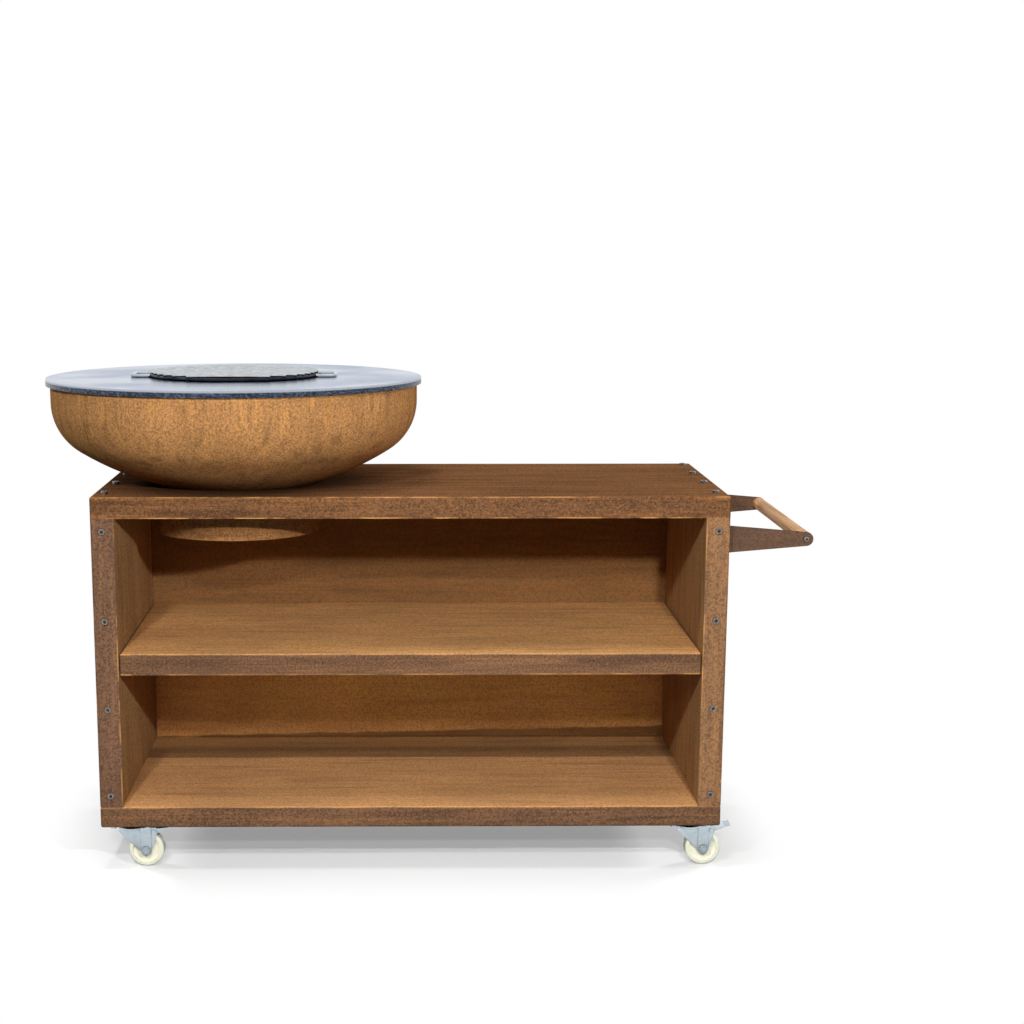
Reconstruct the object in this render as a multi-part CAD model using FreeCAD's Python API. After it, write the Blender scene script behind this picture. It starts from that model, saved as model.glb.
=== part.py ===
"""Outdoor kitchen island in folded weathering steel.

A cabinet with two open compartments stands on four braked swivel castors. A fire bowl drops into one end of
the worktop and carries a round cooking plate with a lift-out grill grate. A push handle with a wooden grip is
bolted to the other end.

Millimetres. X runs along the island, Y from the open front to the back and Z up. The origin is on the floor,
in the middle of the box around the whole island.
"""

import math
import os

import FreeCAD
import Part
from FreeCAD import Vector

os.makedirs("parts", exist_ok=True)

# Cabinet of folded sheet
sheet = 3.0
bend_inside = 2.0
cabinet_width = 1400.0
cabinet_depth = 600.0
cabinet_height = 752.0
lip_height = 48.0
side_thickness = 52.0
liner_flange = 43.0
shelf_setback = 6.0
shelf_end_gap = 1.5
tray_side_return = 25.0
tray_end_return = 110.0
rail_width = 100.0
rail_end_gap = 1.0
back_return = 8.0
back_return_gap = 1.5

# Bolts of the cabinet
bolt_radius = 4.0
bolt_head_radius = 7.0
bolt_head_height = 4.4
bolt_head_flat = 3.5
bolt_tip = 1.5
socket_across = 5.0
socket_depth = 2.6
nut_across = 13.0
nut_height = 6.5
thread_gap = 0.05
hole_gap = 0.5
bolts_per_edge = 4
post_bolt_margin = 28.0
edge_bolt_margin = 50.0
shelf_bolts_per_end = 3
shelf_bolt_margin = 80.0

# Push handle
handle_reach = 172.0
handle_drop = 98.0
arm_thickness = 4.0
arm_inset = 20.0
arm_root_height = 60.0
arm_tip_radius = 15.5
arm_foot = 40.0
arm_bolt_spacing = 36.0
grip_radius = 15.0
grip_screw_depth = 40.0

# Fire bowl, with a dished bottom and a spigot that drops through the worktop
bowl_inset = 296.0
bowl_radius = 420.0
bowl_crown_radius = 672.0
bowl_knuckle_radius = 129.0
bowl_straight = 40.0
bowl_wall = 4.0
seat_radius = 195.0
seat_gap = 0.3
spigot_clearance = 4.0
spigot_wall = 3.0
spigot_drop = 115.0

# Cooking plate
plate_overhang = 10.0
plate_hole_radius = 200.0
plate_thickness = 15.0
plate_edge = 1.5
lug_count = 4
lug_width = 40.0
lug_thickness = 6.0
lug_height = 18.0
lug_clearance = 3.0

# Grill grate of welded rods
grate_clearance = 10.0
grate_ring_rod = 4.0
grate_bar_rod = 3.0
grate_bar_pitch = 24.0
grate_bar_end = 2.0
grate_handle_width = 90.0
grate_handle_reach = 42.0
grate_handle_bend = 14.0
weld_gap = 0.05

# Castors
castor_height = 106.0
castor_end_inset = 63.0
castor_side_inset = 60.0
castor_plate_length = 100.0
castor_plate_width = 85.0
castor_plate_thickness = 3.0
castor_plate_corner = 8.0
castor_hole_length = 78.0
castor_hole_width = 60.0
race_height = 4.0
race_inner_radius = 14.0
race_outer_radius = 27.0
ball_radius = 3.0
ball_circle_radius = 20.0
ball_count = 14
ball_gap = 0.1
kingpin_radius = 6.0
kingpin_head_radius = 10.0
kingpin_head_height = 4.0
running_gap = 0.05
side_gap = 0.3
fork_sheet = 3.0
fork_leg_sheet = 2.5
fork_head_radius = 30.0
fork_rear = 28.0
fork_front = 42.0
fork_shoulder = 10.0
fork_ear = 7.0
fork_boss_radius = 13.0
fork_rib_half = 12.0
fork_rib = 1.5
wheel_radius = 40.0
wheel_width = 32.0
wheel_trail = 32.0
wheel_edge = 4.0
wheel_leg_gap = 2.0
wheel_rim_inner_radius = 31.0
wheel_recess = 7.0
hub_radius = 14.0
bush_radius = 7.0
axle_radius = 5.0
axle_nut_across = 16.0
axle_nut_height = 7.0

# Brake pedals
brake_pin_radius = 3.0
brake_pin_ahead = 18.0
brake_pin_above = 3.0
brake_pin_head_radius = 5.0
brake_pin_head_height = 1.5
pedal_travel = 15.0
pedal_cheek = 2.5
pedal_eye_radius = 5.5
pedal_tread_sheet = 2.8
pedal_tread_above = 7.5
pedal_bend = 13.0
pedal_toe = 31.0
pedal_toe_rise = 9.5
pedal_reach = 44.0
pedal_rise = 13.0
pad_ahead = 5.5
pad_below = 4.5

# Levels and half sizes that follow from the dimensions above
bend_outside = bend_inside + sheet
half_width = cabinet_width / 2
half_depth = cabinet_depth / 2
tray_bottom = castor_height
tray_top = tray_bottom + lip_height
worktop_top = tray_bottom + cabinet_height
worktop_underside = worktop_top - sheet
lip_bottom = worktop_top - lip_height
clear_height = (cabinet_height - 3 * lip_height) / 2
shelf_top = tray_top + clear_height + lip_height
post_x = half_width - side_thickness / 2
liner_x = half_width - side_thickness
castor_x = half_width - castor_end_inset
castor_y = half_depth - castor_side_inset
handle_z = worktop_top - handle_drop
grip_x = half_width + handle_reach
bowl_x = -half_width + bowl_inset
plate_radius = bowl_radius + plate_overhang
grate_ring_radius = plate_hole_radius - grate_clearance
grate_bars_each_side = int(grate_ring_radius // grate_bar_pitch)
hole_radius = bolt_radius + hole_gap

# The island's own middle, which becomes the origin
left_reach = bowl_x - plate_radius
right_reach = grip_x + arm_tip_radius
middle_x = (left_reach + right_reach) / 2

UP = Vector(0, 0, 1)
DOWN = Vector(0, 0, -1)
FRONT = Vector(0, -1, 0)
BACK = Vector(0, 1, 0)


def save(name, *solids):
    """Writes one node, moved so that the island's middle is the origin."""
    node = solids[0] if len(solids) == 1 else Part.makeCompound(list(solids))
    node.translated(Vector(-middle_x, 0, 0)).exportStep(f"parts/{name}.step")


def block(x0, x1, y0, y1, z0, z1):
    return Part.makeBox(x1 - x0, y1 - y0, z1 - z0, Vector(x0, y0, z0))


def rod(radius, start, end):
    along = end - start
    return Part.makeCylinder(radius, along.Length, start, along)


def prism(points, along):
    return Part.Face(Part.makePolygon(points + points[:1])).extrude(along)


def hexagon(across, height):
    """Hexagonal prism standing on the origin."""
    corner = across / math.sqrt(3)
    angles = [math.radians(60 * i) for i in range(6)]
    corners = [Vector(corner * math.cos(a), corner * math.sin(a), 0) for a in angles]
    return prism(corners, Vector(0, 0, height))


def fuse(first, *others):
    return first.fuse(list(others)).removeSplitter().Solids[0]


def cut(shape, *tools):
    return shape.cut(list(tools)).Solids[0]


def spaced(low, high, count):
    return [low + (high - low) * i / (count - 1) for i in range(count)]


def drill(shape, points, along, radius=hole_radius, depth=20.0):
    """Round holes through the sheet at each point."""
    half = along * (depth / 2)
    return cut(shape, *[rod(radius, p - half, p + half) for p in points])


def folded_box(x0, x1, y0, y1, z0, z1, radius, soft):
    """Box with the edges for which soft(centre of edge) is true rounded as bends."""
    solid = block(x0, x1, y0, y1, z0, z1)
    return solid.makeFillet(radius, [e for e in solid.Edges if soft(e.CenterOfMass)])


def folded_tray(half_x, half_y, top):
    """Sheet tray, open below, with lips turned down along all four edges."""
    low = top - lip_height

    def soft(c):
        return c.z > low + sheet

    outer = folded_box(-half_x, half_x, -half_y, half_y, low, top, bend_outside, soft)
    x, y = half_x - sheet, half_y - sheet
    inner = folded_box(-x, x, -y, y, low - sheet, top - sheet, bend_inside, soft)
    return cut(outer, inner)


def place(shape, seat, outward):
    moved = shape.copy()
    moved.Placement = FreeCAD.Placement(seat, FreeCAD.Rotation(UP, outward))
    return moved


def button_head(shank):
    """Button-head bolt along Z, head above the origin and shank below it."""
    r, h, f = bolt_head_radius, bolt_head_height, bolt_head_flat
    centre = (f * f + h * h - r * r) / (2 * h)
    dome = math.hypot(r, centre)
    half_angle = (math.atan2(-centre, r) + math.atan2(h - centre, f)) / 2
    crest = Vector(dome * math.cos(half_angle), 0, centre + dome * math.sin(half_angle))
    profile = Part.Wire([
        Part.makeLine(Vector(0, 0, 0), Vector(r, 0, 0)),
        Part.Arc(Vector(r, 0, 0), crest, Vector(f, 0, h)).toShape(),
        Part.makeLine(Vector(f, 0, h), Vector(0, 0, h)),
        Part.makeLine(Vector(0, 0, h), Vector(0, 0, 0)),
    ])
    head = Part.Face(profile).revolve(Vector(0, 0, 0), UP, 360)
    socket = hexagon(socket_across, h).translated(Vector(0, 0, h - socket_depth))
    return fuse(cut(head, socket), rod(bolt_radius, Vector(0, 0, -shank), Vector(0, 0, 0)))


def bolts_with_nuts(seats, outward, grip):
    """A bolt with its head on each seat, and its nut behind the clamped sheets."""
    bolt = button_head(grip + nut_height + bolt_tip)
    nut = cut(hexagon(nut_across, nut_height), rod(bolt_radius + thread_gap, DOWN, UP * (nut_height + 1)))
    nut = nut.translated(Vector(0, 0, -grip - nut_height))
    return [place(piece, seat, outward) for seat in seats for piece in (bolt, nut)]


# Where the cabinet's bolts go
post_levels = spaced(tray_top + post_bolt_margin, lip_bottom - post_bolt_margin, bolts_per_edge)
edge_depths = spaced(-half_depth + edge_bolt_margin, half_depth - edge_bolt_margin, bolts_per_edge)
shelf_depths = spaced(-half_depth + shelf_bolt_margin, half_depth - shelf_bolt_margin, shelf_bolts_per_end)
shelf_bolt_z = shelf_top - lip_height / 2
front_seats = [Vector(s * post_x, -half_depth, z) for s in (-1, 1) for z in post_levels]
back_seats = [Vector(s * post_x, half_depth, z) for s in (-1, 1) for z in post_levels]
worktop_seats = [Vector(s * post_x, y, worktop_top) for s in (-1, 1) for y in edge_depths]
tray_seats = [Vector(s * post_x, y, tray_top - sheet) for s in (-1, 1) for y in edge_depths]
pivots = [
    ("front_left", Vector(-castor_x, -castor_y, tray_bottom)),
    ("front_right", Vector(castor_x, -castor_y, tray_bottom)),
    ("back_left", Vector(-castor_x, castor_y, tray_bottom)),
    ("back_right", Vector(castor_x, castor_y, tray_bottom)),
]
castor_seats = [
    pivot + Vector(sx * castor_hole_length / 2, sy * castor_hole_width / 2, -castor_plate_thickness)
    for _, pivot in pivots
    for sx in (-1, 1)
    for sy in (-1, 1)
]

# Worktop, with the round opening that the fire bowl drops into
worktop = folded_tray(half_width, half_depth, worktop_top)
opening = rod(seat_radius, Vector(bowl_x, 0, lip_bottom), Vector(bowl_x, 0, worktop_top + sheet))
worktop = drill(cut(worktop, opening), worktop_seats, UP)
save("worktop", worktop)

# Bottom tray, whose lips fold in again below and carry the castors at both ends
tray = folded_box(
    -half_width, half_width, -half_depth, half_depth, tray_bottom, tray_top, bend_outside, lambda c: True
)
tray_inside = folded_box(
    -half_width + sheet,
    half_width - sheet,
    -half_depth + sheet,
    half_depth - sheet,
    tray_bottom + sheet,
    tray_top - sheet,
    bend_inside,
    lambda c: True,
)
tray_mouth = block(
    -half_width + tray_end_return,
    half_width - tray_end_return,
    -half_depth + tray_side_return,
    half_depth - tray_side_return,
    tray_bottom - sheet,
    tray_bottom + 2 * sheet,
)
tray = drill(cut(tray, tray_inside, tray_mouth), tray_seats, UP, depth=4 * sheet)
tray = drill(tray, castor_seats, UP, depth=6 * sheet)
save("bottom_tray", tray)

# Castor rails, channels between the tray's floor and its folded ends
for side, sign in (("left", -1), ("right", 1)):
    rail_y = half_depth - bend_outside - rail_end_gap
    rail_x = sign * castor_x
    rail = block(
        rail_x - rail_width / 2,
        rail_x + rail_width / 2,
        -rail_y,
        rail_y,
        tray_bottom + sheet,
        tray_top - sheet,
    )
    channel = block(
        rail_x - rail_width / 2 + sheet,
        rail_x + rail_width / 2 - sheet,
        -rail_y - sheet,
        rail_y + sheet,
        tray_bottom + 2 * sheet,
        tray_top,
    )
    rail = drill(cut(rail, channel), [s for s in castor_seats if s.x * sign > 0], UP, depth=8 * sheet)
    save(f"{side}_castor_rail", rail)

# Side panels, with a flange round the front and the back of each end
for side, sign in (("left", -1), ("right", 1)):
    outer_x = sorted([sign * half_width, sign * liner_x])
    inner_x = sorted([sign * (half_width - sheet), sign * (liner_x - sheet)])
    back_y = half_depth - sheet
    shell = folded_box(
        outer_x[0],
        outer_x[1],
        -half_depth,
        back_y,
        tray_top,
        lip_bottom,
        bend_outside,
        lambda c: abs(abs(c.x) - half_width) < sheet and abs(c.z - (tray_top + lip_bottom) / 2) < sheet,
    )
    hollow = block(
        inner_x[0], inner_x[1], -half_depth + sheet, back_y - sheet, tray_top - sheet, lip_bottom + sheet
    )
    panel = drill(cut(shell, hollow), [s for s in front_seats + back_seats if s.x * sign > 0], BACK)
    if sign > 0:
        arm_y = half_depth - arm_inset - arm_thickness - arm_foot / 2
        arm_seats = [
            Vector(half_width + arm_thickness, sy * arm_y, handle_z + sz * arm_bolt_spacing / 2)
            for sy in (-1, 1)
            for sz in (-1, 1)
        ]
        panel = drill(panel, arm_seats, Vector(1, 0, 0))
    save(f"{side}_side_panel", panel)

# Side liners, the inner walls that carry the worktop and close the hollow ends
for side, sign in (("left", -1), ("right", 1)):
    face_x = sign * liner_x
    flange_x = sign * (liner_x + liner_flange)
    outer_x = sorted([face_x, flange_x])
    inner_x = sorted([sign * (liner_x + sheet), sign * (liner_x + liner_flange + sheet)])
    front_y = -half_depth + sheet
    back_y = half_depth - 2 * sheet
    shell = folded_box(
        outer_x[0],
        outer_x[1],
        front_y,
        back_y,
        tray_top,
        worktop_underside,
        bend_outside,
        lambda c: abs(c.x - face_x) < sheet or (c.y < front_y + sheet and c.z > worktop_underside - sheet),
    )
    hollow = block(
        inner_x[0], inner_x[1], front_y + sheet, back_y - sheet, tray_top + sheet, worktop_underside - sheet
    )
    holes = [s for s in front_seats + back_seats if s.x * sign > 0]
    liner = drill(cut(shell, hollow), holes, BACK, depth=8 * sheet)
    liner = drill(liner, [s for s in worktop_seats + tray_seats if s.x * sign > 0], UP)
    liner = drill(liner, [Vector(face_x, y, shelf_bolt_z) for y in shelf_depths], Vector(1, 0, 0))
    save(f"{side}_side_liner", liner)

# Back panel, plain and bolted over the back flanges, with a short return along the floor
back_panel = block(-half_width, half_width, half_depth - sheet, half_depth, tray_top, lip_bottom)
return_x = liner_x - back_return_gap
return_y = half_depth - sheet - back_return
back_panel = fuse(back_panel, block(-return_x, return_x, return_y, half_depth, tray_top, tray_top + sheet))
save("back_panel", drill(back_panel, back_seats, BACK))

# Middle shelf, bolted to the liners through its end lips
shelf_half_x = liner_x - shelf_end_gap
shelf_half_y = half_depth - shelf_setback
shelf = folded_tray(shelf_half_x, shelf_half_y, shelf_top)
shelf_holes = [Vector(s * shelf_half_x, y, shelf_bolt_z) for s in (-1, 1) for y in shelf_depths]
save("middle_shelf", drill(shelf, shelf_holes, Vector(1, 0, 0)))

# Bolts of the cabinet
save("front_post_bolts", *bolts_with_nuts(front_seats, FRONT, 2 * sheet))
save("back_panel_bolts", *bolts_with_nuts(back_seats, BACK, 3 * sheet))
save("worktop_bolts", *bolts_with_nuts(worktop_seats, UP, 2 * sheet))
save("tray_bolts", *bolts_with_nuts(tray_seats, DOWN, 2 * sheet))
save("castor_mount_bolts", *bolts_with_nuts(castor_seats, DOWN, castor_plate_thickness + 2 * sheet))
shelf_bolts = []
for sign in (-1, 1):
    seats = [Vector(sign * (shelf_half_x - sheet), y, shelf_bolt_z) for y in shelf_depths]
    shelf_bolts += bolts_with_nuts(seats, Vector(-sign, 0, 0), 2 * sheet + shelf_end_gap)
save("shelf_bolts", *shelf_bolts)

# Push handle: two tapered arms with bent feet
root = arm_root_height / 2
slant = math.hypot(handle_reach, root)
lean = math.asin(arm_tip_radius / slant) - math.atan2(root, handle_reach)
run = math.sqrt(slant**2 - arm_tip_radius**2)
touch_x = half_width + run * math.cos(lean)
touch_z = root + run * math.sin(lean)
for end, sign in (("front", -1), ("rear", 1)):
    face_y = sign * (half_depth - arm_inset)
    corners = [
        Vector(half_width, face_y, handle_z - root),
        Vector(half_width, face_y, handle_z + root),
        Vector(touch_x, face_y, handle_z + touch_z),
        Vector(touch_x, face_y, handle_z - touch_z),
    ]
    tip = Vector(right_reach, face_y, handle_z)
    outline = Part.Wire([
        Part.makeLine(corners[0], corners[1]),
        Part.makeLine(corners[1], corners[2]),
        Part.Arc(corners[2], tip, corners[3]).toShape(),
        Part.makeLine(corners[3], corners[0]),
    ])
    arm = Part.Face(outline).extrude(Vector(0, -sign * arm_thickness, 0))
    foot_y = sorted([face_y, face_y - sign * (arm_thickness + arm_foot)])
    foot = block(
        half_width, half_width + arm_thickness, foot_y[0], foot_y[1], handle_z - root, handle_z + root
    )
    arm = drill(fuse(arm, foot), [s for s in arm_seats if s.y * sign > 0], Vector(1, 0, 0))
    arm = drill(arm, [Vector(grip_x, face_y, handle_z)], BACK, bolt_radius + thread_gap)
    save(f"handle_{end}_arm", arm)
save("handle_arm_bolts", *bolts_with_nuts(arm_seats, Vector(1, 0, 0), arm_thickness + sheet))

# Wooden grip between the arms, with a screw into each end
grip_end = half_depth - arm_inset - arm_thickness
grip = rod(grip_radius, Vector(grip_x, -grip_end, handle_z), Vector(grip_x, grip_end, handle_z))
grip_screw = button_head(arm_thickness + grip_screw_depth)
grip_screws = []
for sign in (-1, 1):
    outward = Vector(0, sign, 0)
    seat = Vector(grip_x, sign * (half_depth - arm_inset), handle_z)
    pilot = seat - outward * (arm_thickness + grip_screw_depth + bolt_tip)
    grip = cut(grip, rod(bolt_radius + thread_gap, pilot, seat))
    grip_screws.append(place(grip_screw, seat, outward))
save("handle_grip", grip)
save("handle_grip_screws", *grip_screws)

# Fire bowl: a dished bottom, a rounded knuckle and a short straight wall
crown_drop = bowl_crown_radius - math.sqrt(bowl_crown_radius**2 - seat_radius**2)
bowl_bottom = worktop_top - crown_drop + seat_gap
knuckle_r = bowl_radius - bowl_knuckle_radius
knuckle_arm = bowl_crown_radius - bowl_knuckle_radius
crown_z = bowl_bottom + bowl_crown_radius
knuckle_z = crown_z - math.sqrt(knuckle_arm**2 - knuckle_r**2)
rim_z = knuckle_z + bowl_straight
knuckle_angle = math.asin(knuckle_r / knuckle_arm)


def crown_point(angle, inset):
    """Point of the dished bottom at an angle from the bowl's axis."""
    r = bowl_crown_radius - inset
    return Vector(bowl_x + r * math.sin(angle), 0, crown_z - r * math.cos(angle))


def knuckle_point(angle, inset):
    r = bowl_knuckle_radius - inset
    return Vector(bowl_x + knuckle_r + r * math.sin(angle), 0, knuckle_z - r * math.cos(angle))


def bowl_edges(inset):
    """Half section of the bowl from its bottom to its rim."""
    join = crown_point(knuckle_angle, inset)
    wall = knuckle_point(math.pi / 2, inset)
    return [
        Part.Arc(crown_point(0, inset), crown_point(knuckle_angle / 2, inset), join).toShape(),
        Part.Arc(join, knuckle_point((knuckle_angle + math.pi / 2) / 2, inset), wall).toShape(),
        Part.makeLine(wall, Vector(wall.x, 0, rim_z)),
    ]


outside = bowl_edges(0)
inside = bowl_edges(bowl_wall)
rim_x = bowl_x + bowl_radius
rim = Part.makeLine(Vector(rim_x, 0, rim_z), Vector(rim_x - bowl_wall, 0, rim_z))
bottom = Part.makeLine(crown_point(0, bowl_wall), crown_point(0, 0))
section = Part.Wire(Part.__sortEdges__(outside + inside + [rim, bottom]))
save("fire_bowl", Part.Face(section).revolve(Vector(bowl_x, 0, 0), UP, 360))

# Spigot ring welded under the bowl, which keeps it in the worktop's opening
spigot_r = seat_radius - spigot_clearance
spigot_low = worktop_top - spigot_drop
outer_angle = math.asin(spigot_r / bowl_crown_radius)
inner_angle = math.asin((spigot_r - spigot_wall) / bowl_crown_radius)
spigot_outer = crown_point(outer_angle, 0)
spigot_inner = crown_point(inner_angle, 0)
outer_foot = Vector(spigot_outer.x, 0, spigot_low)
inner_foot = Vector(spigot_inner.x, 0, spigot_low)
spigot_section = Part.Wire([
    Part.Arc(spigot_inner, crown_point((outer_angle + inner_angle) / 2, 0), spigot_outer).toShape(),
    Part.makeLine(spigot_outer, outer_foot),
    Part.makeLine(outer_foot, inner_foot),
    Part.makeLine(inner_foot, spigot_inner),
])
save("bowl_spigot", Part.Face(spigot_section).revolve(Vector(bowl_x, 0, 0), UP, 360))

# Cooking plate, a thick ring on the bowl's rim
plate_top = rim_z + plate_thickness
plate = rod(plate_radius, Vector(bowl_x, 0, rim_z), Vector(bowl_x, 0, plate_top))
plate_hole = rod(plate_hole_radius, Vector(bowl_x, 0, rim_z), Vector(bowl_x, 0, plate_top))
plate = cut(plate, plate_hole)
rounds = [e for e in plate.Edges if e.Closed and abs(e.CenterOfMass.z - plate_top) < plate_edge]
save("cooking_plate", plate.makeFillet(plate_edge, rounds))

# Lugs under the plate, which keep it centred on the bowl
lug_r = bowl_radius - bowl_wall - lug_clearance
lug = block(
    bowl_x + lug_r - lug_thickness, bowl_x + lug_r, -lug_width / 2, lug_width / 2, rim_z - lug_height, rim_z
)
lug_turns = [360 / lug_count * (i + 0.5) for i in range(lug_count)]
save("plate_lugs", *[lug.copy().rotate(Vector(bowl_x, 0, 0), UP, turn) for turn in lug_turns])

# Grill grate: a rod ring, bars across it and a loop handle at each side
ring_z = plate_top + grate_ring_rod
ring = Part.makeTorus(grate_ring_radius, grate_ring_rod, Vector(bowl_x, 0, ring_z))
save("grate_ring", ring)
bar_z = ring_z + grate_ring_rod + grate_bar_rod + weld_gap
bars = []
for i in range(-grate_bars_each_side, grate_bars_each_side + 1):
    y = i * grate_bar_pitch
    reach = math.sqrt((grate_ring_radius + grate_bar_end) ** 2 - y**2)
    bars.append(rod(grate_bar_rod, Vector(bowl_x - reach, y, bar_z), Vector(bowl_x + reach, y, bar_z)))
save("grate_bars", *bars)
handles = []
loop_y = grate_handle_width / 2
loop_start = math.sqrt((grate_ring_radius + grate_ring_rod) ** 2 - (loop_y - grate_ring_rod) ** 2) + weld_gap
loop_end = grate_ring_radius + grate_handle_reach
bend_x = loop_end - grate_handle_bend
bend_y = loop_y - grate_handle_bend
corner_x = bend_x + grate_handle_bend * math.sqrt(0.5)
corner_y = bend_y + grate_handle_bend * math.sqrt(0.5)
near_bend = [Vector(bend_x, -loop_y, 0), Vector(corner_x, -corner_y, 0), Vector(loop_end, -bend_y, 0)]
far_bend = [Vector(loop_end, bend_y, 0), Vector(corner_x, corner_y, 0), Vector(bend_x, loop_y, 0)]
path = Part.Wire([
    Part.makeLine(Vector(loop_start, -loop_y, 0), near_bend[0]),
    Part.Arc(*near_bend).toShape(),
    Part.makeLine(near_bend[2], far_bend[0]),
    Part.Arc(*far_bend).toShape(),
    Part.makeLine(far_bend[2], Vector(loop_start, loop_y, 0)),
])
round_rod = Part.Wire(Part.makeCircle(grate_ring_rod, Vector(loop_start, -loop_y, 0), Vector(1, 0, 0)))
loop = path.makePipeShell([round_rod], True, False)
for turn in (0, 180):
    handles.append(loop.copy().rotate(Vector(0, 0, 0), UP, turn).translated(Vector(bowl_x, 0, ring_z)))
save("grate_handles", *handles)

# Castor pieces, drawn with the swivel axis at X and Y zero and the mounting face at Z zero
fork_top = -castor_plate_thickness - race_height - 2 * ball_radius - 2 * ball_gap
fork_low = fork_top - fork_sheet
axle_z = wheel_radius - castor_height
leg_inside = wheel_width / 2 + wheel_leg_gap
leg_outside = leg_inside + fork_leg_sheet
rib_outside = leg_outside + fork_rib
pin_x = wheel_trail + brake_pin_ahead
pin_z = axle_z + wheel_radius + brake_pin_above


def across_castor(radius, x, z):
    """Round bar across the whole castor at a point of its side view."""
    return rod(radius, Vector(x, -castor_height, z), Vector(x, castor_height, z))


# Mounting plate with the upper ball race
half_length = castor_plate_length / 2
half_breadth = castor_plate_width / 2
mount_plate = block(-half_length, half_length, -half_breadth, half_breadth, -castor_plate_thickness, 0)
uprights = [e for e in mount_plate.Edges if -castor_plate_thickness < e.CenterOfMass.z < 0]
mount_plate = mount_plate.makeFillet(castor_plate_corner, uprights)
race_low = -castor_plate_thickness - race_height
race = rod(race_outer_radius, Vector(0, 0, race_low), Vector(0, 0, -castor_plate_thickness))
race = cut(race, rod(race_inner_radius, Vector(0, 0, race_low), Vector(0, 0, -castor_plate_thickness)))
mount_plate = fuse(mount_plate, race)
mount_plate = cut(mount_plate, rod(kingpin_radius + running_gap, DOWN * castor_height, UP))
mount_holes = [
    Vector(sx * castor_hole_length / 2, sy * castor_hole_width / 2, 0) for sx in (-1, 1) for sy in (-1, 1)
]
mount_plate = drill(mount_plate, mount_holes, UP)

# Balls and kingpin of the swivel head
ball_z = race_low - ball_gap - ball_radius
balls = []
for i in range(ball_count):
    angle = 2 * math.pi * i / ball_count
    centre = Vector(ball_circle_radius * math.cos(angle), ball_circle_radius * math.sin(angle), ball_z)
    balls.append(Part.makeSphere(ball_radius, centre))
kingpin_low = fork_low - side_gap
kingpin = fuse(
    rod(kingpin_radius, Vector(0, 0, kingpin_low), Vector(0, 0, 0)),
    rod(kingpin_head_radius, Vector(0, 0, kingpin_low - kingpin_head_height), Vector(0, 0, kingpin_low)),
)

# Fork: a round head and two legs that taper to the axle, each with a pressed rib down to it
boss_right = Vector(wheel_trail + fork_boss_radius, 0, axle_z)
boss_left = Vector(wheel_trail - fork_boss_radius, 0, axle_z)
boss_low = Vector(wheel_trail, 0, axle_z - fork_boss_radius)
leg_corners = [
    boss_left,
    Vector(-fork_rear, 0, fork_top - fork_shoulder),
    Vector(-fork_rear, 0, fork_top),
    Vector(pin_x + fork_ear, 0, fork_top),
    Vector(pin_x + fork_ear, 0, pin_z - fork_ear),
    boss_right,
]
leg_edges = [Part.makeLine(a, b) for a, b in zip(leg_corners, leg_corners[1:])]
leg_edges.append(Part.Arc(boss_right, boss_low, boss_left).toShape())
leg = Part.Face(Part.Wire(leg_edges)).extrude(Vector(0, fork_leg_sheet, 0))
legs = [leg.translated(Vector(0, y, 0)) for y in (leg_inside, -leg_outside)]
for y in (leg_outside, -rib_outside):
    eye = rod(fork_rib_half, Vector(wheel_trail, y, axle_z), Vector(wheel_trail, y + fork_rib, axle_z))
    rib_x = wheel_trail - fork_rib_half
    strip = block(rib_x, rib_x + 2 * fork_rib_half, y, y + fork_rib, axle_z, fork_top)
    legs += [eye, strip]
head = rod(fork_head_radius, Vector(0, 0, fork_low), Vector(0, 0, fork_top))
bridge = block(-fork_rear, fork_front, -leg_outside, leg_outside, fork_low, fork_top)
fork = fuse(head, bridge, *legs)
fork = cut(
    fork,
    rod(kingpin_radius + running_gap, Vector(0, 0, fork_low), Vector(0, 0, fork_top)),
    across_castor(axle_radius + running_gap, wheel_trail, axle_z),
    across_castor(brake_pin_radius + running_gap, pin_x, pin_z),
)

# Axle bolt with its nut
axle_tip = rib_outside + axle_nut_height + bolt_tip
axle = rod(axle_radius, Vector(wheel_trail, -axle_tip, axle_z), Vector(wheel_trail, rib_outside, axle_z))
axle_head = place(hexagon(axle_nut_across, axle_nut_height), Vector(wheel_trail, rib_outside, axle_z), BACK)
axle_nut = place(hexagon(axle_nut_across, axle_nut_height), Vector(wheel_trail, -rib_outside, axle_z), FRONT)
axle_nut = cut(axle_nut, across_castor(axle_radius + thread_gap, wheel_trail, axle_z))
axle = fuse(axle, axle_head)

# Wheel with a recessed web, and its bush
hub_half = leg_inside - side_gap


def wheel_disc(radius, half):
    return rod(radius, Vector(wheel_trail, -half, axle_z), Vector(wheel_trail, half, axle_z))


tread = wheel_disc(wheel_radius, wheel_width / 2)
tread = tread.makeFillet(wheel_edge, [e for e in tread.Edges if e.Closed])
web_half = wheel_width / 2 - wheel_recess
recesses = []
for sign in (-1, 1):
    ring_y = sorted([sign * web_half, sign * wheel_width])
    span = [Vector(wheel_trail, y, axle_z) for y in ring_y]
    recesses.append(cut(rod(wheel_rim_inner_radius, *span), rod(hub_radius, *span)))
wheel = fuse(cut(tread, *recesses), wheel_disc(hub_radius, hub_half))
wheel = cut(wheel, across_castor(bush_radius, wheel_trail, axle_z))
bush = wheel_disc(bush_radius, hub_half)
bush = cut(bush, across_castor(axle_radius + running_gap, wheel_trail, axle_z))

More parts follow.
